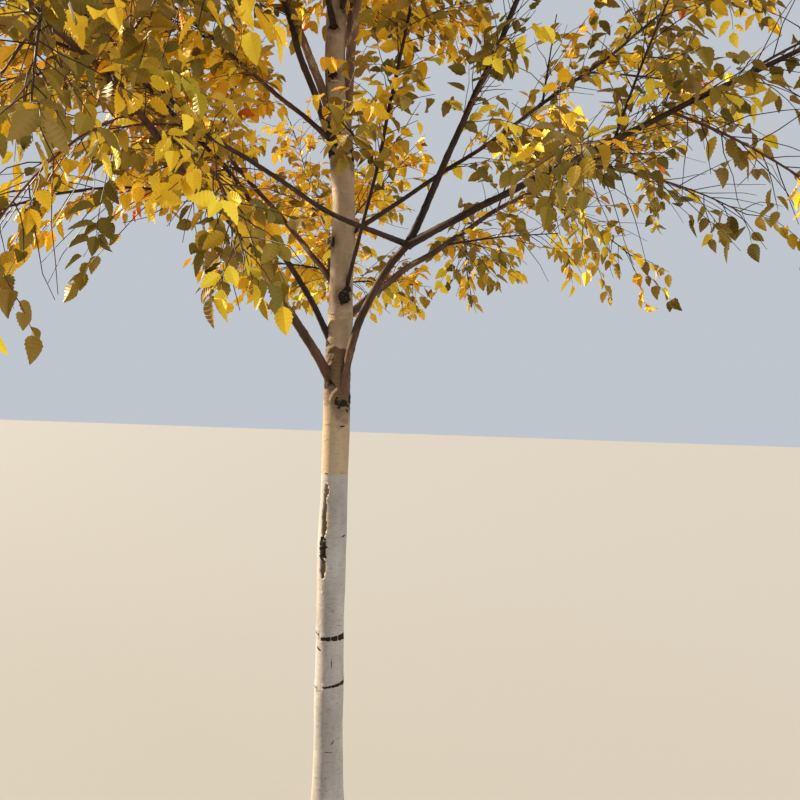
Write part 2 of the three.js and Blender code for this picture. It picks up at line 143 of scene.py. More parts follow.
# The finer twigs and the leaves, which only this script grows. The first table gives the gap between the
# twigs on a limb's shoots and stem, the share of twigs without leaves, and the mix of tints. The darker
# mixes are painted shade on masses seen from their shaded side; the brightest is partly a painted glow of
# back-lit leaves.
LEAFINESS = dict(
    left_low=(0.022, 0.42, "olive"), front_cross=(0.022, 0.42, "olive"), back_right=(0.022, 0.45, "olive"),
    right_reach=(0.024, 0.64, "dull"), right_riser=(0.022, 0.50, "dull"), right_mid=(0.022, 0.45, "dull"),
    front_right=(0.017, 0.22, "mixed"), front_upper=(0.017, 0.12, "mixed"), left_mid=(0.015, 0.10, "mixed"),
    left_whorl=(0.013, 0.06, "mixed"), right_leader=(0.014, 0.08, "mixed"),
    back_left=(0.014, 0.10, "bright"), back_whorl=(0.014, 0.08, "bright"),
    left_leader=(0.012, 0.04, "bright"), left_upper=(0.012, 0.04, "bright"),
)
OTHER_LEAFINESS = (0.021, 0.28, "bright")
CLOSE_MASSES = ("left_low", "front_cross", "front_upper", "front_right", "right_reach")
WIDE_REACH = 0.85  # a mass that reaches this far has the longest twigs
FIRST_TWIG = (0.05, 0.06)  # from the foot of a stem, and of a shoot
STEM_TWIGS = 0.75  # their length against that of the twigs on shoots
TWIG_LENGTH = (0.16, 0.46)
TWIG_TAPER = 0.45  # how much shorter the last twig of a shoot is
TWIG_STEPS = 4
TWIG_SPLAY = (26, 56)  # degrees off the shoot
TWIG_SCATTER = 35  # degrees round the shoot
TWIG_WANDER = 0.13
TWIG_DROOP = 0.05  # how much a twig sinks at each step, and more where its limb's shoots hang
TWIG_HANG = 0.4
TWIG_RADIUS = (0.0021, 0.0010)
SHOOT_SIDES, TWIG_SIDES = 5, 3
BARE_TWIG = (0.1, 0.55)  # the share of a twig before its first leaf
LEAF_SPACING = 0.031
LEAF_LENGTH = 0.061
LEAF_WIDTH = 0.64  # of its length
LEAF_SCATTER = 0.25
LEAF_FORWARD = (0.25, 0.8)  # along its twig, against out from it and down
LEAF_OUTWARD = (0.5, 1.0)
LEAF_DROOP = (-0.1, 1.2)
LEAF_STRAY = 0.16
LEAF_TILT = 0.55
STALK_LENGTH = 0.16  # of the leaf's length, as all of its measures
STALK_HALF_WIDTHS = (0.008, 0.006)  # at the blade and at the twig
STALK_OVERLAP = 0.02
TOOTH_PLACE = 0.62  # between one vein pair and the next
TOOTH_SCATTER = 0.05
NOTCH_PLACE = 0.98
NOTCH_WIDTH = 0.9
VEIN_PAIRS = dict(close=7, far=4)
LEAF_SHAPES = [  # how much each is folded, curled, pleated and twisted
    (0.30, 0.10, 0.08, 0.1), (0.12, 0.24, 0.09, -0.3), (0.55, 0.06, 0.07, 0.4), (0.20, -0.10, 0.08, 0.2),
    (0.80, 0.20, 0.06, -0.5), (0.05, 0.38, 0.10, 0.6), (0.40, -0.05, 0.07, -0.2), (0.15, 0.12, 0.08, 0.0),
]
STRAY_SHARE = 0.22  # of the leaves have another tint than their spray
BOX_MARGIN = 0.03  # how far a leaf may stand out of its mass's box


def heading(azimuth, rise):
    a, r = math.radians(azimuth), math.radians(rise)
    return np.array([math.cos(a) * math.cos(r), math.sin(a) * math.cos(r), math.sin(r)])


def between(pair, share):
    return pair[0] + (pair[1] - pair[0]) * share


def unit(vectors):
    return vectors / np.linalg.norm(vectors, axis=-1, keepdims=True)


def smoothstep(values, low, high):
    t = np.clip((values - low) / (high - low), 0, 1)
    return t * t * (3 - 2 * t)


def fade(values, low, high):
    """1 under low and 0 over high, with a smooth fall between."""
    return 1 - smoothstep(values, low, high)


def seeded_random(seed):
    """The generator that the solids use, so that the shoots come out the same."""
    state = seed
    while True:
        state = (state * 1664525 + 1013904223) % 4294967296
        yield state / 4294967296


def trunk_centre(height):
    height = np.asarray(height, float)
    centre = np.stack([np.zeros_like(height), np.zeros_like(height), height], axis=-1)
    for low, high, right, away in TRUNK_BENDS:
        share = smoothstep(height, low, high)
        centre[..., 0] += right * share
        centre[..., 1] += away * share
    return centre


def trunk_radius(height):
    left = np.clip(1 - np.asarray(height, float) / LEADER_HEIGHT, 0, 1)
    return TIP_RADIUS + STEM_RADIUS * left ** TAPER


def root_flare(height, angle):
    lobes = 1
    for count, share, phase in ROOT_LOBES:
        lobes = lobes + share * np.cos(count * angle + math.radians(phase))
    return FLARE_RADIUS * lobes * np.exp(-height / FLARE_HEIGHT)


class Limb:
    """A limb from its foot to its last bud: twelve steps, of which the first may be bare bough."""

    def __init__(self, facts, parent, seed):
        self.ease = 1
        self.leaves = 1
        self.lift = SHOOT_LIFT
        self.height = 0
        self.tip_radius = LIMB_TIP_RADIUS
        for key, value in facts.items():
            setattr(self, key, value)
        self.parent = parent
        self.seed = seed
        self.points = self.walk(self.foot())
        after = np.vstack([self.points[1:], self.points[-1:]])
        before = np.vstack([self.points[:1], self.points[:-1]])
        self.along = unit(after - before)
        self.is_leader = self.name == LEADER["name"]
        if self.is_leader:
            self.along[0] = (0, 0, 1)
        steps = np.arange(LIMB_STEPS + 1)
        self.collar = COLLAR * self.radius * np.exp(-steps * self.length / LIMB_STEPS / COLLAR_LENGTH)
        taper = (1 - steps / LIMB_STEPS) ** LIMB_TAPER
        self.radii = self.tip_radius + (self.radius - self.tip_radius) * taper
        knots = {self.bare, LIMB_STEPS, *range(0, LIMB_STEPS, 2)}
        self.stem = [i for i in steps if i >= self.bare and i in knots]

    def foot(self):
        if self.name == LEADER["name"]:
            return trunk_centre(TRUNK_TOP + GAP)
        if self.parent:
            return self.parent.points[-1] - FORK_DEPTH * self.parent.along[-1]
        out = trunk_radius(self.height) - (1 + COLLAR) * self.radius - UNDER_BARK
        return trunk_centre(self.height) + out * heading(self.azimuth, 0)

    def walk(self, foot):
        points = [foot]
        for step in range(LIMB_STEPS):
            share = ((step + 0.5) / LIMB_STEPS) ** self.ease
            stray = WANDER * math.sin(WANDER_RATE * step + math.radians(self.azimuth))
            rise = between((self.rise, self.tip_rise), share) + stray / 2
            way = heading(self.azimuth + self.turn * share + stray, rise)
            points.append(points[-1] + way * self.length / LIMB_STEPS)
        return np.array(points)

    def stem_place(self, share):
        """A point, the direction and the radius at a share of the leafy end."""
        place = share * (len(self.stem) - 1)
        i = min(int(place), len(self.stem) - 2)
        a, b, t = self.stem[i], self.stem[i + 1], place - i
        point = between((self.points[a], self.points[b]), t)
        along = unit(between((self.along[a], self.along[b]), t))
        radii = self.radii + self.collar
        return point, along, between((radii[a], radii[b]), t)


def lay_out_limbs():
    """Every limb, each after the one that it grows from."""
    facts = [{**dict(zip(LIMB_FACTS, row)), **MORE_FACTS.get(row[0], {})} for row in LOW_LIMBS]
    for i in range(HIGH_COUNT):
        share = i / (HIGH_COUNT - 1)
        high = {key: between(pair, share) for key, pair in HIGH_RANGES.items()}
        high["shoots"] = math.floor(high["shoots"] + 0.5)
        high["azimuth"] = (HIGH_LIMBS["azimuth"] + i * GOLDEN_ANGLE) % 360
        facts.append({**HIGH_LIMBS, **high, "name": f"high_{i + 1}"})
    facts.append({**LEADER, "radius": float(trunk_radius(TRUNK_TOP))})
    laid = {}
    for i, fact in enumerate(facts):
        laid[fact["name"]] = Limb(fact, laid.get(fact.get("parent")), FIRST_SEED + SEED_STEP * i)
    return list(laid.values())


def distance_to(starts, ends, points, radii=0):
    """The least distance from each point to any of the segments, less their radii."""
    runs = ends - starts
    offsets = points[:, None, :] - starts[None, :, :]
    t = np.clip((offsets * runs).sum(-1) / (runs * runs).sum(-1), 0, 1)
    gaps = np.linalg.norm(offsets - t[..., None] * runs, axis=-1) - radii
    return gaps.min(axis=1)


class Space:
    """Where a mass may grow: clear of the trunk and the boughs, not too low, nearest its own stem."""

    def __init__(self, owner, limbs):
        self.own = self.segments([owner])
        self.rivals = self.segments([limb for limb in limbs if limb is not owner and limb.shoots > 0])
        self.boughs = self.bough_segments([limb for limb in limbs if limb.bare])
        low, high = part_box(f"foliage_{owner.name}")
        self.low = np.array(low) - BOX_MARGIN
        self.high = np.array(high) + BOX_MARGIN

    @staticmethod
    def segments(limbs):
        starts = np.vstack([limb.points[limb.stem[:-1]] for limb in limbs])
        ends = np.vstack([limb.points[limb.stem[1:]] for limb in limbs])
        return starts, ends

    @staticmethod
    def bough_segments(limbs):
        starts = np.vstack([limb.points[:limb.bare] for limb in limbs])
        ends = np.vstack([limb.points[1:limb.bare + 1] for limb in limbs])
        radii = np.hstack([(limb.radii + limb.collar)[:limb.bare] for limb in limbs])
        return starts, ends, radii

    def is_free(self, points):
        points = np.atleast_2d(points)
        centre = trunk_centre(np.minimum(points[:, 2], TRUNK_TOP))
        off_trunk = np.linalg.norm(points - centre, axis=1) - trunk_radius(points[:, 2])
        free = (points[:, 2] >= LOWEST_LEAF) & (off_trunk >= CLEAR_OF_LIMBS)
        free &= distance_to(self.boughs[0], self.boughs[1], points, self.boughs[2]) >= CLEAR_OF_LIMBS
        own = distance_to(*self.own, points)
        return free & (distance_to(*self.rivals, points) > own + CLEAR_OF_NEIGHBOURS)

    def is_inside(self, points):
        return ((points >= self.low) & (points <= self.high)).all(axis=1)

    def is_clear_run(self, start, end):
        pieces = math.ceil(np.linalg.norm(end - start) / TEST_SPACING)
        shares = np.arange(1, pieces + 1)[:, None] / pieces
        return bool(self.is_free(start + (end - start) * shares).all())


def sideways(way, roll):
    """A direction square to another, turned round it by an angle in degrees from the horizontal."""
    level = unit(np.cross(way, (0.0, 0.0, 1.0)))
    r = np.radians(roll)[..., None] if np.ndim(roll) else math.radians(roll)
    return level * np.cos(r) + np.cross(way, level) * np.sin(r)


def grow_shoots(limb, space):
    """The side shoots of a limb, each a row of points and its radius at the foot."""
    random = seeded_random(limb.seed)
    shoots = []
    for i in range(limb.shoots):
        share = (i + FIRST_SHOOT) / limb.shoots
        foot, along, radius = limb.stem_place(share)
        splay = math.radians(between(SHOOT_SPLAY, share))
        side = sideways(along, i * GOLDEN_ANGLE + SHOOT_SCATTER * next(random))
        size = 1 + SIZE_SCATTER * (2 * next(random) - 1)
        stride = limb.reach * (1 - SHOOT_TAPER * share) * size / SHOOT_STEPS
        way = along * math.cos(splay) + side * math.sin(splay)
        points = [foot]
        while len(points) <= SHOOT_STEPS:
            step = points[-1] + way * stride
            if not space.is_clear_run(points[-1], step):
                break
            points.append(step)
            way = unit(way + (0, 0, limb.lift))
        if len(points) > SHORTEST_SHOOT:
            shoots.append((np.array(points), min(SHOOT_RADIUS[0], SLENDER * radius)))
    return shoots


def smooth_path(points, count):
    """Points along a smooth curve through the given ones, with the direction at each."""
    last = len(points) - 1
    padded = np.vstack([2 * points[0] - points[1], points, 2 * points[-1] - points[-2]])
    place = np.linspace(0, last, count)
    i = np.minimum(place.astype(int), last - 1)
    t = (place - i)[:, None]
    p0, p1, p2, p3 = padded[i], padded[i + 1], padded[i + 2], padded[i + 3]
    square, cube = 2 * p0 - 5 * p1 + 4 * p2 - p3, 3 * p1 - p0 - 3 * p2 + p3
    curve = 0.5 * (2 * p1 + (p2 - p0) * t + square * t ** 2 + cube * t ** 3)
    slope = (p2 - p0) + 2 * square * t + 3 * cube * t ** 2
    return curve, unit(slope)


def along_path(points, spacing, first):
    """Places at even distances along a row of points: point, direction and share of the length."""
    runs = np.linalg.norm(np.diff(points, axis=0), axis=1)
    total = runs.sum()
    at = np.arange(first, total, spacing)
    knots = np.concatenate([[0], np.cumsum(runs)])
    i = np.clip(np.searchsorted(knots, at, side="right") - 1, 0, len(runs) - 1)
    t = ((at - knots[i]) / runs[i])[:, None]
    place = points[i] + (points[i + 1] - points[i]) * t
    return place, unit(points[i + 1] - points[i]), at / total


def grow_twigs(paths, spacing, droop, space, random):
    """Fine twigs along each path: rows of points, cut short where they would leave the space."""
    twigs = []
    for path, first, share_of_length in paths:
        feet, ways, shares = along_path(path, spacing, first)
        count = len(feet)
        if not count:
            continue
        scatter = random.uniform(-TWIG_SCATTER, TWIG_SCATTER, count)
        roll = np.arange(count) * GOLDEN_ANGLE + scatter + random.uniform(0, 360)
        splay = np.radians(random.uniform(*TWIG_SPLAY, count))[:, None]
        way = ways * np.cos(splay) + sideways(ways, roll) * np.sin(splay)
        length = random.uniform(*TWIG_LENGTH, count) * (1 - TWIG_TAPER * shares) * share_of_length
        rows = [feet]
        for _ in range(TWIG_STEPS):
            way = unit(way + random.normal(0, TWIG_WANDER, (count, 3)) - (0, 0, droop))
            rows.append(rows[-1] + way * (length / TWIG_STEPS)[:, None])
        rows = np.stack(rows, axis=1)
        flat = rows.reshape(-1, 3)
        good = (space.is_free(flat) & space.is_inside(flat)).reshape(count, -1)
        good[:, 0] = True
        for row, fine in zip(rows, good):
            kept = len(fine) if fine.all() else int(np.argmin(fine))
            if kept > 2:
                twigs.append(row[:kept])
    return twigs


def leaf_feet(twigs, leafless, random):
    """Every leaf's foot, its twig's direction there, its side of the twig and its spray's number."""
    feet, ways, sides, sprays = [], [], [], []
    for number, twig in enumerate(twigs):
        if random.random() < leafless:
            continue
        length = np.linalg.norm(np.diff(twig, axis=0), axis=1).sum()
        place, way, _ = along_path(twig, LEAF_SPACING, length * random.uniform(*BARE_TWIG))
        place = np.vstack([place, twig[-1:]])
        way = np.vstack([way, unit(twig[-1:] - twig[-2:-1])])
        side = np.where(np.arange(len(place)) % 2, 1.0, -1.0)
        side[-1] = 0
        feet.append(place)
        ways.append(way)
        sides.append(side)
        sprays.append(np.full(len(place), number))
    return np.vstack(feet), np.vstack(ways), np.concatenate(sides), np.concatenate(sprays)


def leaf_half_width(y):
    """Half the width of a leaf at a share of its length: full near the foot, drawn out to a pointed tip."""
    y = min(max(y, 0.0), 1.0)
    body = math.sin(math.pi * y ** 0.72) ** 0.75
    return LEAF_WIDTH / 2 * body * (1 - 0.28 * y ** 3)


def leaf_template(pairs, fold, curl, pleat, twist, random):
    """A toothed, pointed leaf of unit length that lies along +Y with its upper side towards +Z.

    Each vein pair adds a midrib point, two tooth tips and two notches. It has a short flat stalk.
    """
    stations = np.linspace(0, 1, pairs + 1)
    points = [(0.0, y) for y in stations]
    faces = []
    for side in (1, -1):
        for k in range(pairs):
            tooth = stations[k] + TOOTH_PLACE / pairs
            notch = stations[k] + NOTCH_PLACE / pairs
            jitter = 1 + TOOTH_SCATTER * random.standard_normal()
            points.append((side * leaf_half_width(tooth) * jitter, tooth))
            points.append((side * leaf_half_width(notch) * NOTCH_WIDTH, notch))
            edge = len(points) - 2
            fan = [(k, edge, k + 1), (k + 1, edge, edge + 1)]
            if k:
                fan.append((k, edge - 1, edge))
            faces += [face if side > 0 else face[::-1] for face in fan]
    flat = np.array(points)
    x, y = flat[:, 0], flat[:, 1]
    is_notch = np.zeros(len(flat))
    is_notch[pairs + 2::2] = 1
    z = fold * np.abs(x) - curl * y ** 2 + pleat * is_notch * np.abs(x) * 2
    turn = twist * y
    blade = np.stack([x * np.cos(turn) - z * np.sin(turn), y, z * np.cos(turn) + x * np.sin(turn)], axis=1)
    wide, narrow = STALK_HALF_WIDTHS
    stalk = [(-wide, STALK_OVERLAP, 0), (wide, STALK_OVERLAP, 0)]
    stalk += [(narrow, -STALK_LENGTH, 0), (-narrow, -STALK_LENGTH, 0)]
    n = len(blade)
    faces += [(n + 1, n, n + 2), (n + 2, n, n + 3)]
    vertices = np.vstack([blade, stalk])
    vertices[:, 1] += STALK_LENGTH
    return vertices, np.array(faces)


def link_object(name, data):
    made = bpy.data.objects.new(name, data)
    bpy.context.scene.collection.objects.link(made)
    return made


def mesh_from_arrays(name, vertices, faces, materials, indices, smooth):
    """A mesh object from arrays of points and of triangles or quads, with each face's material."""
    mesh = bpy.data.meshes.new(name)
    size = faces.shape[1]
    mesh.vertices.add(len(vertices))
    mesh.vertices.foreach_set("co", vertices.astype(np.float32).ravel())
    mesh.loops.add(faces.size)
    mesh.loops.foreach_set("vertex_index", faces.astype(np.int32).ravel())
    mesh.polygons.add(len(faces))
    mesh.polygons.foreach_set("loop_start", np.arange(0, faces.size, size, dtype=np.int32))
    for material in materials:
        mesh.materials.append(material)
    mesh.polygons.foreach_set("material_index", indices.astype(np.int32))
    mesh.polygons.foreach_set("use_smooth", np.full(len(faces), smooth))
    mesh.update(calc_edges=True)
    mesh.validate()
    return link_object(name, mesh)


def tubes(rows, sides):
    """Tapering tubes along rows of points, closed at the tip. Each row comes with its two end radii."""
    vertices, faces, owners = [], [], []
    total = 0
    around = np.arange(sides) * 2 * math.pi / sides
    for number, (points, foot_radius, tip_radius) in enumerate(rows):
        count = len(points)
        ways = unit(np.gradient(points, axis=0))
        across = unit(np.cross(ways, (0.13, 0.31, 0.94)))
        beside = np.cross(ways, across)
        radii = np.linspace(foot_radius, tip_radius, count)[:, None, None]
        ring = across[:, None] * np.cos(around)[None, :, None]
        ring = ring + beside[:, None] * np.sin(around)[None, :, None]
        vertices.append((points[:, None] + ring * radii).reshape(-1, 3))
        vertices.append(points[-1:] + ways[-1:] * tip_radius)
        for i in range(count - 1):
            for j in range(sides):
                a, b = total + i * sides + j, total + i * sides + (j + 1) % sides
                faces += [(a, b, b + sides), (a, b + sides, a + sides)]
        end = total + (count - 1) * sides
        faces += [(end + j, end + (j + 1) % sides, total + count * sides) for j in range(sides)]
        owners += [number] * (2 * sides * (count - 1) + sides)
        total += count * sides + 1
    return np.vstack(vertices), np.array(faces), np.array(owners)


LEAF_TINTS = {
    "leaf_lemon": (0.95, 0.71, 0.045),
    "leaf_gold": (0.90, 0.57, 0.022),
    "leaf_amber": (0.76, 0.40, 0.012),
    "leaf_ochre": (0.50, 0.31, 0.02),
    "leaf_russet": (0.66, 0.17, 0.015),
    "leaf_brown": (0.27, 0.165, 0.025),
    "leaf_khaki": (0.29, 0.195, 0.018),
    "leaf_olive": (0.17, 0.125, 0.013),
    "leaf_lime": (0.47, 0.37, 0.025),
}
TINT_SHARES = {  # in the order of the tints above
    # The first mix, the brightest, is partly a painted glow of back-lit leaves; the last two, darker, are
    # painted shade.
    "bright": (0.22, 0.30, 0.10, 0.14, 0.005, 0.045, 0.12, 0.04, 0.03),
    "mixed": (0.12, 0.22, 0.09, 0.19, 0.005, 0.095, 0.18, 0.08, 0.02),
    "olive": (0.12, 0.15, 0.06, 0.16, 0.005, 0.145, 0.215, 0.135, 0.01),
    "dull": (0.08, 0.11, 0.05, 0.18, 0.005, 0.185, 0.225, 0.155, 0.01),
}
TWIG_TINTS = {
    "twig_dark": (0.035, 0.018, 0.014),
    "twig_brown": (0.075, 0.036, 0.024),
    "twig_red": (0.11, 0.045, 0.028),
}
TWIG_SHARES = (0.55, 0.33, 0.12)
LEAF_ROUGHNESS = 0.56
TWIG_ROUGHNESS = 0.55
PLAIN_GLOSS = 0.25


def plain(name, colour, roughness):
    """A plain finish: the tints of leaves and twigs are dealt out by spray."""
    material = bpy.data.materials.new(name)
    material.use_nodes = True
    shader = material.node_tree.nodes["Principled BSDF"]
    shader.inputs["Base Color"].default_value = (*colour, 1)
    shader.inputs["Roughness"].default_value = roughness
    shader.inputs["Specular IOR Level"].default_value = PLAIN_GLOSS
    return material


def leaf_templates(pairs):
    random = np.random.default_rng(11)
    return [leaf_template(pairs, *shape, random) for shape in LEAF_SHAPES]


def aim_leaves(ways, sides, random):
    """Each leaf's direction, out from its twig and mostly drooping, and the normal of its upper side."""
    count = len(ways)
    way = ways * random.uniform(*LEAF_FORWARD, count)[:, None]
    way += sideways(ways, 0.0) * (sides * random.uniform(*LEAF_OUTWARD, count))[:, None]
    way[:, 2] -= random.uniform(*LEAF_DROOP, count)
    way = unit(way + random.normal(0, LEAF_STRAY, (count, 3)))
    up = np.array([0.0, 0.0, 1.0]) + random.normal(0, LEAF_TILT, (count, 3))
    return way, unit(up - way * (up * way).sum(1)[:, None])


def deal_tints(sprays, spray_count, shares, random):
    """Each leaf's tint: that of its spray, but for a few strays."""
    tints = random.choice(len(shares), spray_count, p=shares)[sprays]
    stray = random.random(len(tints)) < STRAY_SHARE
    return np.where(stray, random.choice(len(shares), len(tints), p=shares), tints)


def leaves_piece(limb, twigs, leafless, shares, space, finishes, templates, random):
    feet, ways, sides, sprays = leaf_feet(twigs, leafless, random)
    way, normal = aim_leaves(ways, sides, random)
    size = LEAF_LENGTH * limb.leaves ** 0.5 * random.uniform(1 - LEAF_SCATTER, 1 + LEAF_SCATTER, len(feet))
    tips = feet + way * (size * (1 + STALK_LENGTH))[:, None]
    middles = feet + way * (size * 0.6)[:, None]
    kept = space.is_free(tips) & space.is_free(middles) & space.is_inside(tips)
    feet, way, normal, size, sprays = feet[kept], way[kept], normal[kept], size[kept], sprays[kept]
    tints = deal_tints(sprays, len(twigs), shares, random)
    choice = random.integers(len(templates), size=len(feet))
    axes = np.stack([np.cross(way, normal), way, normal], axis=1)
    vertices, faces, indices = [], [], []
    total = 0
    for number, (shape, corners) in enumerate(templates):
        mine = choice == number
        n = int(mine.sum())
        placed = feet[mine][:, None] + (shape @ axes[mine]) * size[mine][:, None, None]
        vertices.append(placed.reshape(-1, 3))
        offsets = total + np.arange(n)[:, None, None] * len(shape)
        faces.append((corners[None] + offsets).reshape(-1, 3))
        indices.append(np.repeat(tints[mine], len(corners)))
        total += n * len(shape)
    return mesh_from_arrays(f"leaves_{limb.name}", np.vstack(vertices), np.vstack(faces), finishes,
                            np.concatenate(indices), False)


def twigs_piece(limb, shoots, twigs, finishes, random):
    rows = [(smooth_path(points, 3 * len(points) - 2)[0], radius, TWIG_RADIUS[0])
            for points, radius in shoots]
    vertices, faces, owners = tubes(rows, SHOOT_SIDES)
    more_vertices, more_faces, more_owners = tubes([(twig, *TWIG_RADIUS) for twig in twigs], TWIG_SIDES)
    tints = random.choice(len(finishes), len(shoots) + len(twigs), p=TWIG_SHARES)
    faces = np.vstack([faces, more_faces + len(vertices)])
    vertices = np.vstack([vertices, more_vertices])
    owners = np.concatenate([owners, more_owners + len(shoots)])
    return mesh_from_arrays(f"twigs_{limb.name}", vertices, faces, finishes, tints[owners], True)


def dress_mass(limb, limbs, finishes, templates):
    """The shoots, twigs and leaves of one foliage mass."""
    space = Space(limb, limbs)
    random = np.random.default_rng(limb.seed)
    shoots = grow_shoots(limb, space)
    stem, _ = smooth_path(limb.points[limb.bare:], 4 * (LIMB_STEPS - limb.bare) + 1)
    size = (limb.reach / WIDE_REACH) ** 0.5
    paths = [(stem, FIRST_TWIG[0], STEM_TWIGS * size)]
    paths += [(points, FIRST_TWIG[1], size) for points, _ in shoots]
    spacing, leafless, mix = LEAFINESS.get(limb.name, OTHER_LEAFINESS)
    twigs = grow_twigs(paths, spacing, TWIG_DROOP - TWIG_HANG * limb.lift, space, random)
    shapes = templates["close" if limb.name in CLOSE_MASSES else "far"]
    leaves = leaves_piece(limb, twigs, leafless, TINT_SHARES[mix], space, finishes["leaves"], shapes, random)
    wood = twigs_piece(limb, shoots, twigs, finishes["twigs"], random)
    node = f"foliage_{limb.name}"
    for piece in (leaves, wood):
        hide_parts(node)
        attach(piece, ROOT)


BARK_GLOSS = 0.2
BARK_TONES = {  # each tone's darker and lighter end
    "lilac": ((0.315, 0.283, 0.262), (0.425, 0.392, 0.365)),
    "buff": ((0.33, 0.245, 0.145), (0.43, 0.325, 0.205)),
    "pink": ((0.32, 0.225, 0.135), (0.45, 0.34, 0.225)),
    # Weathered bark, partly painted shade round the limb feet.
    "weathered": ((0.075, 0.042, 0.024), (0.24, 0.155, 0.10)),
    # Partly a real stain and partly painted shade from the crown, at and under the fork.
    "stained": ((0.065, 0.036, 0.013), (0.155, 0.093, 0.045)),
    "fresh_wood": ((0.14, 0.085, 0.045), (0.32, 0.215, 0.13)),
    "aged_wood": ((0.05, 0.032, 0.02), (0.20, 0.14, 0.09)),
    "crust": ((0.011, 0.008, 0.005), (0.028, 0.018, 0.010)),
}
PEELING = (0.50, 0.34, 0.24)
STREAKS = (0.34, 0.25, 0.20)
LENTICELS = (0.20, 0.13, 0.10)
TORN_LIP = (0.74, 0.58, 0.38)
LIMB_BARKS = {  # name, darker and lighter tone, papery tone and how much of the limb is papery
    "russet": ("russet_limb_bark", (0.040, 0.019, 0.011), (0.125, 0.066, 0.038), (0.34, 0.235, 0.15), 0.10),
    "dark": ("dark_limb_bark", (0.016, 0.009, 0.006), (0.062, 0.033, 0.020), (0.20, 0.125, 0.08), 0.07),
    "pink": ("pink_limb_bark", (0.115, 0.058, 0.032), (0.26, 0.150, 0.090), (0.50, 0.36, 0.24), 0.15),
}
LIMB_LENTICELS = (0.30, 0.19, 0.13)
LIMB_JOINTS = (0.022, 0.015, 0.013)


class Socket:
    """A shader socket. Arithmetic on it adds Math nodes to its material."""

    def __init__(self, finish, link):
        self.finish = finish
        self.link = link

    def math(self, operation, *values):
        return self.finish.add("ShaderNodeMath", {"operation": operation}, dict(enumerate(values)))[0]

    def __add__(self, other):
        return self.math("ADD", self, other)

    def __radd__(self, other):
        return self.math("ADD", other, self)

    def __sub__(self, other):
        return self.math("SUBTRACT", self, other)

    def __rsub__(self, other):
        return self.math("SUBTRACT", other, self)

    def __mul__(self, other):
        return self.math("MULTIPLY", self, other)

    def __rmul__(self, other):
        return self.math("MULTIPLY", other, self)

    def ramp(self, low, high):
        """0 under low and 1 over high, with a smooth rise between. low may be the greater."""
        settings = {"interpolation_type": "SMOOTHSTEP"}
        return self.finish.add("ShaderNodeMapRange", settings,
                               {"Value": self, "From Min": low, "From Max": high})["Result"]


class Outputs:
    """The outputs of a node, by number or by name."""

    def __init__(self, finish, node):
        self.finish = finish
        self.node = node

    def __getitem__(self, key):
        return Socket(self.finish, self.node.outputs[key])


class Finish:
    """A procedural bark around one Principled shader."""

    def __init__(self, name):
        self.material = bpy.data.materials.new(name)
        self.material.use_nodes = True
        self.nodes = self.material.node_tree.nodes
        self.links = self.material.node_tree.links
        self.shader = self.nodes["Principled BSDF"]
        self.shader.inputs["Specular IOR Level"].default_value = BARK_GLOSS
        self.straight = self.attribute("straight", "Vector")

    def add(self, kind, settings, sockets):
        """Adds a node: its settings first, then the values or links of its sockets."""
        node = self.nodes.new(kind)
        for key, value in settings.items():
            setattr(node, key, value)
        for key, value in sockets.items():
            self.plug(node.inputs[key], value)
        return Outputs(self, node)

    def plug(self, socket, value):
        if isinstance(value, Socket):
            self.links.new(value.link, socket)
        elif isinstance(value, tuple) and len(value) == 3 and socket.type == "RGBA":
            socket.default_value = (*value, 1)
        else:
            socket.default_value = value

    def attribute(self, name, output="Fac"):
        return self.add("ShaderNodeAttribute", {"attribute_name": name}, {})[output]

    def grain(self, scale, detail, roughness):
        """Noise over the limb laid out straight, with its own scale along each axis."""
        place = self.add("ShaderNodeVectorMath", {"operation": "MULTIPLY"}, {0: self.straight, 1: scale})[0]
        return self.add("ShaderNodeTexNoise", {},
                        {"Vector": place, "Scale": 1.0, "Detail": detail, "Roughness": roughness})[0]

    def mix(self, share, first, second):
        settings = {"data_type": "RGBA"}
        return self.add("ShaderNodeMix", settings, {"Factor": share, 6: first, 7: second})[2]

    def tone(self, share, name):
        return self.mix(share, *BARK_TONES[name])

    def feed(self, **sockets):
        for key, value in sockets.items():
            self.plug(self.shader.inputs[key.replace("_", " ").title()], value)

    def bump(self, height, distance):
        normal = self.add("ShaderNodeBump", {}, {"Height": height, "Distance": distance, "Strength": 1.0})
        self.links.new(normal["Normal"].link, self.shader.inputs["Normal"])


def sound_bark(bark, blotch, streak, peel, lenticel):
    """The colour of unmarked bark: lilac up to chest height, buff over it and pink higher up."""
    height = bark.add("ShaderNodeSeparateXYZ", {}, {0: bark.straight})["Z"]
    lilac = bark.tone(blotch.ramp(0.36, 0.66), "lilac")
    buff = bark.tone(blotch.ramp(0.35, 0.62), "buff")
    pink = bark.tone(blotch.ramp(0.35, 0.65), "pink")
    colour = bark.mix((height + blotch * 0.05).ramp(1.335, 1.345), lilac, buff)
    colour = bark.mix((height + blotch * 0.8).ramp(1.75, 2.5), colour, pink)
    colour = bark.mix(peel * height.ramp(1.2, 1.9) * 0.5, colour, PEELING)
    colour = bark.mix(streak.ramp(0.52, 0.74) * 0.4, colour, STREAKS)
    return bark.mix(lenticel * 0.6, colour, LENTICELS)


def bare_wood(bark):
    """The wood in the scar, fresher where it lies less deep."""
    grain = bark.grain((220.0, 220.0, 26.0), 3.0, 0.6)
    depth = bark.attribute("deep").ramp(0.3, 0.9)
    return bark.mix(depth, bark.tone(grain, "fresh_wood"), bark.tone(grain, "aged_wood"))


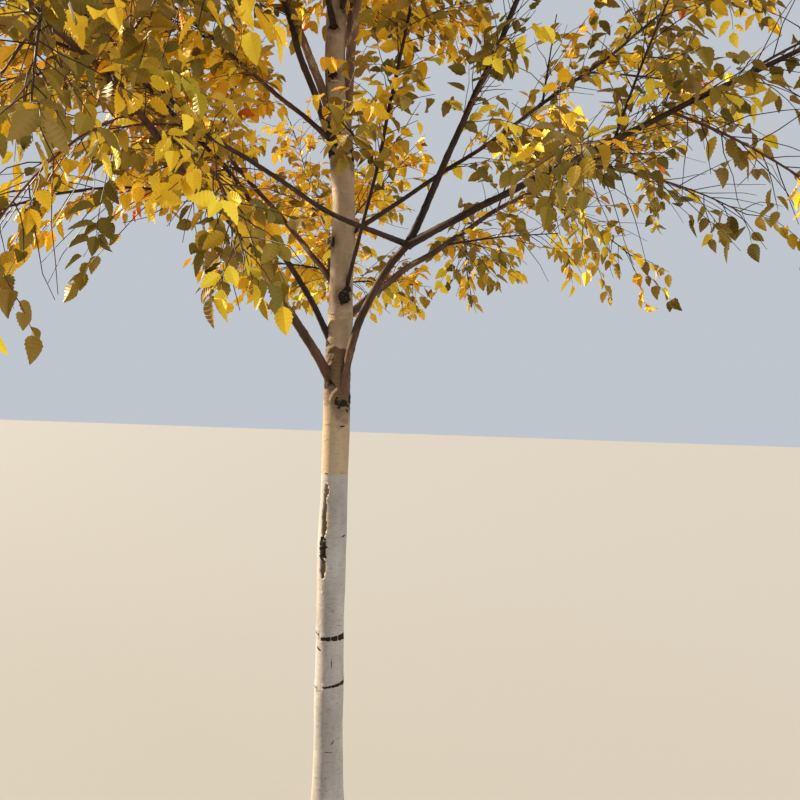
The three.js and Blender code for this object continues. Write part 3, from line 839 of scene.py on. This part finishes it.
def white_bark():
    """The trunk's bark with its fine lenticels and peelings, under the masks that the mesh carries."""
    bark = Finish("white_birch_bark")
    blotch = bark.grain((9.0, 9.0, 3.5), 4.0, 0.55)
    streak = bark.grain((14.0, 14.0, 160.0), 3.0, 0.6)
    fine = bark.grain((45.0, 45.0, 520.0), 2.0, 0.6)
    peel = bark.grain((11.0, 11.0, 30.0), 2.0, 0.5).ramp(0.62, 0.68)
    rough = bark.grain((60.0, 60.0, 90.0), 4.0, 0.65)
    lenticel = fine.ramp(0.62, 0.70)
    colour = sound_bark(bark, blotch, streak, peel, lenticel)
    # Broad darker patches: weathered bark, and round the limb feet partly painted shade.
    patchy = (bark.attribute("weathered") + (blotch - 0.5) * 0.8).ramp(0.15, 0.75)
    colour = bark.mix(patchy * 0.8, colour, bark.tone(streak, "weathered"))
    # The stain at the fork, olive brown, partly painted shade from the crown.
    olive = bark.tone((blotch + streak * 0.5).ramp(0.5, 0.95), "stained")
    stained = (bark.attribute("stained") + (blotch - 0.5) * 0.5).ramp(0.1, 0.6)
    colour = bark.mix(stained * 0.94, colour, olive)
    colour = bark.mix(bark.attribute("wood").ramp(0.25, 0.6), colour, bare_wood(bark))
    colour = bark.mix(bark.attribute("lip").ramp(0.1, 0.7), colour, TORN_LIP)
    edge = (bark.attribute("dark") + (rough - 0.5) * 0.8).ramp(0.36, 0.6)
    colour = bark.mix(edge, colour, bark.tone(rough.ramp(0.35, 0.7), "crust"))
    bark.feed(base_color=colour, roughness=0.55 + 0.25 * edge + 0.1 * streak)
    relief = streak * 0.35 + fine * 0.25 + peel * 0.5 + lenticel * 0.5
    bark.bump(relief + edge * rough * 3.0 + patchy * rough, 0.0014)
    return bark.material


def limb_bark(name, deep, light, pale, pale_share):
    """The smooth bark of boughs, with pale cross-wise lenticels and paler papery stretches."""
    bark = Finish(name)
    blotch = bark.grain((30.0, 30.0, 8.0), 4.0, 0.6)
    rings = bark.grain((60.0, 60.0, 420.0), 3.0, 0.6)
    colour = bark.mix(blotch.ramp(0.3, 0.7), deep, light)
    papery = (blotch + rings * 0.3).ramp(0.85 - pale_share, 0.95 - pale_share)
    papery = papery * (1 - bark.attribute("near_foot").ramp(0.1, 0.5))
    colour = bark.mix(papery, colour, pale)
    lenticel = rings.ramp(0.62, 0.70)
    colour = bark.mix(lenticel * 0.35, colour, LIMB_LENTICELS)
    edge = (bark.attribute("dark") + (rings - 0.5) * 0.8).ramp(0.4, 0.65)
    colour = bark.mix(edge, colour, LIMB_JOINTS)
    bark.feed(base_color=colour, roughness=0.48 + 0.25 * blotch + 0.2 * edge)
    bark.bump(rings * 0.5 + lenticel * 0.6 + blotch * 0.8 + edge * rings * 2.0, 0.0007)
    return bark.material


def mesh_from_shell(name, shell):
    mesh = bpy.data.meshes.new(name)
    shell.to_mesh(mesh)
    shell.free()
    return mesh


def tube_of_bark(name, sides, rings):
    """A closed unit tube from z=0 to z=1, as a mesh whose points are then set along a limb."""
    shell = bmesh.new()
    bmesh.ops.create_cone(shell, cap_ends=True, segments=sides, radius1=1, radius2=1, depth=1,
                          matrix=Matrix.Translation((0, 0, 0.5)))
    upright = [edge for edge in shell.edges if abs(edge.verts[0].co.z - edge.verts[1].co.z) > 0.5]
    bmesh.ops.subdivide_edges(shell, edges=upright, cuts=rings - 1, use_grid_fill=True)
    for face in shell.faces:
        face.smooth = len(face.verts) == 4
    for edge in shell.edges:
        edge.smooth = all(len(face.verts) == 4 for face in edge.link_faces)
    mesh = mesh_from_shell(name, shell)
    piece = link_object(name, mesh)
    points = np.zeros(len(mesh.vertices) * 3, np.float32)
    mesh.vertices.foreach_get("co", points)
    points = points.reshape(-1, 3).astype(float)
    return piece, np.arctan2(points[:, 1], points[:, 0]), points[:, 2]


def set_points(piece, points, straight, **masks):
    """Places a tube's points, and keeps for the bark where each was on the straight limb."""
    mesh = piece.data
    mesh.vertices.foreach_set("co", points.astype(np.float32).ravel())
    vectors = mesh.attributes.new("straight", "FLOAT_VECTOR", "POINT")
    vectors.data.foreach_set("vector", straight.astype(np.float32).ravel())
    for name, values in masks.items():
        layer = mesh.attributes.new(name, "FLOAT", "POINT")
        layer.data.foreach_set("value", np.clip(values, 0, 1).astype(np.float32))
    mesh.update()


def rough_noise(points, scale, octaves=3):
    """Fractal noise between about -1 and 1 at each point."""
    return np.array([noise.fractal(Vector(point), 1.0, 2.0, octaves) for point in points * scale])


def angle_gap(angle, azimuth):
    """The signed angle in radians from an azimuth in degrees."""
    return (angle - math.radians(azimuth) + math.pi) % (2 * math.pi) - math.pi


def spot(across, up, half_width, half_height, soft=0.35):
    """1 inside an ellipse and 0 outside it, soft over a share of its size."""
    return fade(np.sqrt((across / half_width) ** 2 + (up / half_height) ** 2), 1 - soft, 1 + soft)


# The marks on the trunk. A dash: height, azimuth, half width, half height, and how much its right end rises.
DASHES = [
    (1.088, 326, 0.012, 0.0026, 0.003),
    (1.495, 300, 0.009, 0.0028, 0.001),
    (1.553, 318, 0.006, 0.0040, -0.004),
    (1.318, 236, 0.009, 0.0022, -0.002),
    (0.668, 222, 0.012, 0.0040, -0.005),
    (0.617, 282, 0.0010, 0.026, 0.0),
    (0.328, 291, 0.007, 0.0028, 0.009),
    (0.292, 275, 0.022, 0.0012, 0.0),
    (0.870, 60, 0.016, 0.0040, 0.002),
    (1.210, 110, 0.012, 0.0030, -0.002),
    (0.410, 140, 0.014, 0.0040, 0.0),
    (1.380, 30, 0.010, 0.0035, 0.002),
    (1.020, 165, 0.009, 0.0030, 0.003),
]
# The two dark rings, as arcs: height, azimuth and half thickness at the first end, then at the last.
RING_ARCS = [
    ((0.706, 233, 0.0058), (0.715, 352, 0.0125)),
    ((0.731, 172, 0.0018), (0.719, 224, 0.0030)),
    ((0.715, 352, 0.0125), (0.704, 500, 0.0048)),
    ((0.528, 247, 0.0028), (0.545, 350, 0.0080)),
    ((0.527, 184, 0.0026), (0.521, 220, 0.0016)),
    ((0.545, 350, 0.0080), (0.530, 485, 0.0024)),
]
RING_NICKS = [(0.71, 278), (0.71, 308), (0.71, 40), (0.54, 322)]  # height and azimuth
SCAR_AZIMUTH = 239
SCAR_OPENINGS = [  # height, half width, half height and how dark inside
    (1.250, 0.0080, 0.030, 0.35),
    (1.150, 0.0095, 0.074, 0.75),
    (0.968, 0.0105, 0.038, 1.0),
]
KNOT = (1.040, 0.0155, 0.046)  # in the scar: height, half width and half height
CRUSTS = [  # dark crusted knots: height, azimuth, half width and half height
    (1.588, 273, 0.009, 0.017),
    (1.600, 336, 0.010, 0.023),
    (1.574, 304, 0.017, 0.006),
    (1.977, 288, 0.023, 0.025),
    (2.180, 216, 0.013, 0.022),
    (2.340, 62, 0.016, 0.020),
    (2.560, 250, 0.009, 0.030),
    (2.520, 335, 0.010, 0.040),
    (2.810, 255, 0.022, 0.022),
]
FOLDS = [  # pale lips over a dark line, as arcs like the rings', and how much each bows up
    ((1.940, 256, 0.0016), (1.958, 313, 0.0022), 0.002),
    ((1.926, 196, 0.0016), (1.913, 248, 0.0016), -0.007),
    ((2.789, 222, 0.0015), (2.783, 294, 0.0015), -0.006),
]
FORK_TOP = (1.790, -0.010)  # of the stained bark with painted shade from the crown, at azimuth 262 and per radian from there
FORK_FOOT = (1.610, -0.028)  # at azimuth 262, and how much lower a quarter turn to the right
FORK_AZIMUTH = 262
TORN_EDGE = ((1.584, 241, 0.013), (1.636, 274, 0.010), 0.011)  # a pale flap of bark, as a fold
STEEP_RISE = 75  # a limb that rises more has two dark tongues under its foot
MASKS = ("dark", "wood", "lip", "weathered", "stained", "deep")


class Marks:
    """The masks and the relief of the trunk's surface, at each point of its mesh."""

    def __init__(self, angle, height, radius):
        self.angle = angle
        self.height = height
        self.radius = radius
        self.surface = np.stack([np.cos(angle) * radius, np.sin(angle) * radius, height], axis=1)
        self.ragged = rough_noise(self.surface, 60.0)
        for name in MASKS:
            setattr(self, name, np.zeros_like(height))
        self.relief = 0.0020 * rough_noise(self.surface + 7.0, 5.0) + 0.0004 * self.ragged
        self.relief += 0.0022 * smoothstep(height, 0.75, 1.0) * fade(height, 1.45, 1.7)

    def across(self, azimuth):
        return angle_gap(self.angle, azimuth) * self.radius

    def cover(self, **masks):
        """Lays masks over those that are there."""
        for name, mask in masks.items():
            setattr(self, name, np.maximum(getattr(self, name), mask))

    def add_dashes(self):
        for z, azimuth, half_width, half_height, rise in DASHES:
            across = self.across(azimuth)
            up = self.height - z - rise * across / half_width
            mark = spot(across + 0.15 * half_width * self.ragged, up, half_width, half_height, 0.6)
            swelling = spot(across, up, half_width * 1.4, half_height * 2.4, 0.8)
            self.cover(dark=mark)
            self.relief += 0.001 * swelling - 0.0012 * mark

    def along_arc(self, first, last, bow=0):
        """Whether each point is beside an arc, how far over it, and the arc's half thickness there."""
        middle, half_span = (first[1] + last[1]) / 2, (last[1] - first[1]) / 2
        share = np.degrees(angle_gap(self.angle, middle)) / half_span / 2 + 0.5
        inside = smoothstep(share, -0.02, 0.02) * fade(share, 0.98, 1.02)
        thickness = between((first[2], last[2]), np.clip(share, 0, 1))
        up = self.height - between((first[0], last[0]), share) + 0.2 * thickness * self.ragged
        up = up - bow * 4 * share * (1 - share)
        return inside, up, thickness * (1 + 0.3 * self.ragged)

    def add_rings(self):
        for first, last in RING_ARCS:
            inside, up, thickness = self.along_arc(first, last)
            band = inside * fade(np.abs(up), thickness * 0.7, thickness * 1.15)
            self.cover(dark=band)
            swelling = inside * fade(np.abs(up), 0.006, 0.026)
            self.relief += 0.0020 * swelling - 0.0016 * band
        for z, azimuth in RING_NICKS:
            nick = spot(self.across(azimuth), self.height - z, 0.0014, 0.02, 0.5)
            self.dark *= 1 - 0.7 * nick

    def add_crusts(self):
        """Dark knots with a crust, each in a patch of weathered bark."""
        lumps = rough_noise(self.surface + 2.0, 85.0)
        for z, azimuth, half_width, half_height in CRUSTS:
            across = self.across(azimuth) + 0.2 * half_width * self.ragged
            up = self.height - z + 0.15 * half_height * lumps
            crust = spot(across, up, half_width * (1 - 0.35 * up / half_height), half_height, 0.25)
            patch = spot(across, up, 2.1 * half_width, 1.8 * half_height, 0.7)
            self.cover(dark=crust * (0.80 + 0.55 * lumps), weathered=0.8 * patch)
            self.relief += crust * (0.0015 + 0.0030 * lumps)

    def add_folds(self):
        """Pale lips of bark over a dark line."""
        wavy = 0.0040 * rough_noise(self.surface + 4.0, 26.0) + 0.0012 * self.ragged
        for first, last, bow in FOLDS:
            inside, up, thickness = self.along_arc(first, last, bow)
            up = up + wavy
            lip = inside * fade(np.abs(up), thickness * 0.6, thickness * 1.3)
            under = inside * fade(np.abs(up + 2.0 * thickness), thickness * 0.5, thickness * 1.1)
            self.cover(lip=0.5 * lip, dark=0.85 * under)
            self.relief += 0.0018 * lip - 0.0010 * under

    def add_scar(self):
        """The long open scar on the left: a window, a strip of bare wood, a knot and a lower opening."""
        wavy = rough_noise(self.surface * (0.3, 0.3, 1.0) + 5.0, 22.0)
        torn = rough_noise(self.surface * (0.6, 0.6, 1.0) + 9.0, 70.0)
        across = self.across(SCAR_AZIMUTH) + 0.0036 * wavy + 0.0018 * torn
        rims = np.zeros_like(across)
        for z, half_width, half_height, depth in SCAR_OPENINGS:
            up = self.height - z + 0.006 * torn
            inside = spot(across, up, half_width, half_height, 0.12)
            top_shade = inside * smoothstep(np.abs(up) / half_height, 0.62, 0.95)
            rim = spot(across - 0.0020, up, half_width + 0.0036, half_height + 0.004, 0.2)
            self.cover(wood=inside, deep=inside * depth, dark=0.75 * top_shade * (0.6 + 0.4 * depth))
            rims = np.maximum(rims, rim)
        rims = np.clip(rims - self.wood, 0, 1)
        curled = smoothstep(across, 0.000, 0.006) * smoothstep(torn + 0.5 * wavy, -0.55, 0.0)
        self.cover(lip=rims * curled)
        self.relief += 0.0050 * rims * (0.25 + 0.75 * curled) - 0.0065 * self.wood
        self.add_knot(across)
        flakes = spot(across + 0.003, self.height - 0.84, 0.006, 0.085, 0.8) * smoothstep(torn, 0.15, 0.6)
        self.cover(lip=0.55 * flakes)
        self.relief += 0.0016 * flakes

    def add_knot(self, across):
        """The knot in the scar: a lumpy dark core with pale crumbs round it, on a long swelling."""
        z, half_width, half_height = KNOT
        knot = spot(across, self.height - z, half_width, half_height, 0.5)
        lumps = rough_noise(self.surface, 110.0)
        core = smoothstep(knot + 0.6 * lumps, 0.45, 0.65)
        self.relief += knot * (0.003 + 0.0060 * lumps)
        self.lip = self.lip * (1 - core)
        self.cover(dark=core, lip=0.9 * knot * (1 - core) * smoothstep(lumps, -0.4, 0.1))
        self.wood *= 1 - core
        self.relief += 0.0055 * spot(across, self.height - z, 0.045, 0.10, 1.0)

    def add_collars(self, limbs):
        """Where each limb leaves the trunk: a long swelling, rough dark bark and a ridge down each side."""
        rough = rough_noise(self.surface + 3.0, 45.0)
        for limb in limbs:
            if limb.parent or limb.is_leader:
                continue
            size = max(limb.radius, 0.010)
            steep = limb.rise > STEEP_RISE
            across = self.across(limb.azimuth)
            up = self.height - limb.height - (2.0 if steep else 0.8) * size
            swell = spot(across, up + 1.6 * size, 1.9 * size, 5.2 * size, 0.9)
            ring = self.collar_ring(across, up, size, steep, rough)
            ridge = fade(np.abs(up - 1.1 * size + 1.1 * np.abs(across)), 0.12 * size, 0.3 * size)
            ridge = ridge * spot(across, up, 2.6 * size, 3.4 * size, 0.3) * (not steep)
            # The broad darker patch round each foot is partly weathered bark and partly painted shade.
            wide = spot(across, up + 0.8 * size, 2.6 * size, 5.0 * size, 0.9)
            self.cover(dark=np.maximum(ring * (0.7 + 0.5 * rough), 0.85 * ridge),
                       weathered=wide * (0.75 + 0.5 * rough))
            self.relief += 0.42 * size * swell + 0.0012 * ridge + 0.0015 * ring * rough

    @staticmethod
    def collar_ring(across, up, size, steep, rough):
        """The dark bark under a limb's foot: a ring, or two ragged tongues that run down from it."""
        if not steep:
            return spot(across, up + 0.5 * size, 1.6 * size, 1.3 * size, 0.35)
        over = up + (0.3 + 0.7 * rough) * size + 0.9 * np.abs(across + 0.3 * size * rough)
        tongues = fade(np.abs(over), 0.1 * size, 1.5 * size)
        tongues = 0.9 * tongues * spot(across, up + 0.9 * size, 2.0 * size, 1.9 * size, 0.6)
        crotch = spot(across, up + 0.8 * size, 1.7 * size, 1.4 * size, 0.6)
        return np.maximum(tongues, crotch * (0.62 + 0.5 * rough))

    def add_fork(self):
        """Stain and painted crown shade where the lowest boughs leave, with a clear top and a ragged foot.
        """
        gap = angle_gap(self.angle, FORK_AZIMUTH)
        wavy = rough_noise(self.surface + 11.0, 16.0)
        height = self.height + 0.008 * wavy + 0.003 * self.ragged
        top = FORK_TOP[0] + FORK_TOP[1] * np.abs(gap)
        foot = FORK_FOOT[0] + FORK_FOOT[1] * np.sin(gap)
        # The stain band, partly painted shade from the crown; its foot sinks towards the shaded side.
        stain_and_shade_band = smoothstep(height, foot - 0.008, foot + 0.008) * fade(height, top - 0.003, top + 0.003)
        # A fainter painted shade under the band, on the shaded side only.
        below = smoothstep(height, foot - 0.09, foot) * fade(height, foot, foot + 0.02)
        below = below * smoothstep(np.sin(gap), -0.45, -0.2)
        self.cover(stained=np.maximum(stain_and_shade_band * (0.85 + 0.3 * wavy), 0.45 * below))
        self.relief += 0.0018 * stain_and_shade_band * self.ragged
        inside, up, thickness = self.along_arc(*TORN_EDGE)
        torn = inside * fade(np.abs(up + 0.004 * wavy), 0.1 * thickness, 1.3 * thickness)
        self.cover(lip=0.5 * torn)
        self.relief += 0.003 * torn


TRUNK_SIDES = 84
TRUNK_RINGS = 1080
RING_PLACES = [0, 760, 920, TRUNK_RINGS]  # the rings lie closest where the marks are
RING_HEIGHTS = [0, 2.1, 3.0, TRUNK_TOP]
THICK_LIMB = 0.012  # a limb with a greater radius has more sides
LIMB_SIDES = dict(thick=14, thin=10)
LIMB_RING_SPACING = 0.011
JOINT_SPACING = 0.085
JOINT_SIZE = 0.10  # against the limb's radius, as for the knots and bends
LIMB_KNOTS = (55.0, 0.07)  # how close together, and their size
BENDS = (6.0, 0.55)
STIFF_RINGS = (4, 20)  # between these the bends set in
DARK_FOOT = 0.05  # how soon the dark bark at a limb's foot fades
PLAIN_FOOT = 0.16  # how soon papery bark may follow
BEND_SEED = 1795672256  # for noise_vector, which otherwise starts from the clock


def dress_trunk(limbs, finish):
    piece, angle, share = tube_of_bark("bark_trunk", TRUNK_SIDES, TRUNK_RINGS)
    height = np.interp(share * TRUNK_RINGS, RING_PLACES, RING_HEIGHTS)
    radius = trunk_radius(height)
    marks = Marks(angle, height, radius)
    marks.add_dashes()
    marks.add_rings()
    marks.add_crusts()
    marks.add_scar()
    marks.add_collars(limbs)
    marks.add_fork()
    marks.add_folds()
    relief = marks.relief * smoothstep(height, 0.0, 0.03) * np.clip(radius / 0.03, 0.25, 1)
    out = radius + root_flare(height, angle) + relief
    points = trunk_centre(height)
    points[:, 0] += np.cos(angle) * out
    points[:, 1] += np.sin(angle) * out
    set_points(piece, points, marks.surface, **{name: getattr(marks, name) for name in MASKS})
    piece.data.materials.append(finish)
    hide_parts("trunk")
    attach(piece, ROOT)


def sway(curve, radii):
    """Small bends along a limb, none at its foot."""
    bends = np.array([noise.noise_vector(Vector(point) * BENDS[0]) for point in curve])
    grip = smoothstep(np.arange(len(curve)), *STIFF_RINGS)
    return bends * (BENDS[1] * radii * grip)[:, None]


def untwisted_axes(along):
    """Two directions square to each one of a row and to each other, which turn as little as they can."""
    across = np.zeros_like(along)
    side = np.array([1.0, 0.0, 0.0]) if abs(along[0][0]) < 0.9 else np.array([0.0, 1.0, 0.0])
    for i, way in enumerate(along):
        side = side - way * (side @ way)
        side /= np.linalg.norm(side)
        across[i] = side
    return across, np.cross(along, across)


def dress_limb(limb, finishes):
    """The bark of one limb from inside the trunk to its last bud, with small joints along it."""
    sides = LIMB_SIDES["thick" if limb.radius > THICK_LIMB else "thin"]
    rings = int(limb.length / LIMB_RING_SPACING)
    piece, angle, share = tube_of_bark(f"bark_{limb.name}", sides, rings)
    ring = np.rint(share * rings).astype(int)
    curve, along = smooth_path(limb.points, rings + 1)
    across, beside = untwisted_axes(along)
    steps = np.linspace(0, LIMB_STEPS, rings + 1)
    radii = np.interp(steps, np.arange(LIMB_STEPS + 1), limb.radii)
    runs = steps * limb.length / LIMB_STEPS
    collar = COLLAR * limb.radius * np.exp(-runs / COLLAR_LENGTH)
    radius, run = (radii + collar)[ring], runs[ring]
    straight = np.stack([np.cos(angle) * radius, np.sin(angle) * radius, run + limb.seed * 0.1], axis=1)
    curve = curve + sway(curve, radii)
    knots = rough_noise(straight, LIMB_KNOTS[0])
    joints = np.maximum(0, np.cos(run * 2 * math.pi / JOINT_SPACING + 2.0 * np.sin(run * 9))) ** 12
    out = radius * (1 + LIMB_KNOTS[1] * knots + JOINT_SIZE * joints)
    outward = across[ring] * np.cos(angle)[:, None] + beside[ring] * np.sin(angle)[:, None]
    dark = 0.8 * np.exp(-run / DARK_FOOT) + 0.25 * joints
    if limb.parent or limb.is_leader or limb.bare == 0:
        dark = 0.5 * dark
    points = curve[ring] + outward * out[:, None]
    set_points(piece, points, straight, dark=dark, near_foot=np.exp(-run / PLAIN_FOOT))
    piece.data.materials.append(finishes[limb.bark])
    nodes = [f"bough_{limb.name}"] if limb.bare else []
    nodes += [f"foliage_{limb.name}"] if limb.shoots else []
    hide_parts(*nodes)
    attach(piece, ROOT)


# The photograph's view, the floor and the light of a low sun from behind on the left.
CAMERA_PLACE = (0.221, -3.4, 1.6)
CAMERA_LENS = 40.9
SENSOR_WIDTH = 36.0
CAMERA_ROLL = 2.0
FLOOR_SIZE = 40
FLOOR_COLOUR = (0.29, 0.285, 0.28)
FLOOR_ROUGHNESS = 1.0
SKY = ((0.86, 0.92, 1.0, 1), 0.61)
KEY_LIGHT = dict(energy=11.5, color=(1.0, 0.85, 0.61), angle=math.radians(2))
KEY_TURN = (62, 0, -110)
FILL_LIGHT = dict(energy=1.25, color=(1.0, 0.95, 0.88), angle=math.radians(50))
FILL_TURN = (62, 0, 58)


def make_camera():
    data = bpy.data.cameras.new("camera")
    data.lens = CAMERA_LENS
    data.sensor_width = SENSOR_WIDTH
    data.clip_start = 0.02
    camera = link_object("camera", data)
    camera.location = CAMERA_PLACE
    camera.rotation_euler = (math.pi / 2, -math.radians(CAMERA_ROLL), 0)
    bpy.context.scene.camera = camera


def make_floor():
    shell = bmesh.new()
    bmesh.ops.create_grid(shell, x_segments=1, y_segments=1, size=FLOOR_SIZE)
    floor = link_object("floor", mesh_from_shell("floor", shell))
    floor.data.materials.append(plain("pale_floor", FLOOR_COLOUR, FLOOR_ROUGHNESS))


def make_light(name, turn, settings):
    data = bpy.data.lights.new(name, "SUN")
    for key, value in settings.items():
        setattr(data, key, value)
    link_object(name, data).rotation_euler = [math.radians(angle) for angle in turn]


def make_lights():
    world = bpy.data.worlds.new("studio")
    world.use_nodes = True
    background = world.node_tree.nodes["Background"]
    background.inputs["Color"].default_value, background.inputs["Strength"].default_value = SKY
    bpy.context.scene.world = world
    make_light("key", KEY_TURN, KEY_LIGHT)
    make_light("fill", FILL_TURN, FILL_LIGHT)


bpy.context.scene.view_settings.view_transform = "Standard"
make_camera()
make_floor()
make_lights()

tree = lay_out_limbs()
tree_finishes = {
    "leaves": [plain(name, colour, LEAF_ROUGHNESS) for name, colour in LEAF_TINTS.items()],
    "twigs": [plain(name, colour, TWIG_ROUGHNESS) for name, colour in TWIG_TINTS.items()],
}
tree_templates = {distance: leaf_templates(pairs) for distance, pairs in VEIN_PAIRS.items()}
limb_finishes = {name: limb_bark(*facts) for name, facts in LIMB_BARKS.items()}
noise.seed_set(BEND_SEED)
dress_trunk(tree, white_bark())
for each in tree:
    dress_limb(each, limb_finishes)
for each in tree:
    if each.shoots:
        dress_mass(each, tree, tree_finishes, tree_templates)
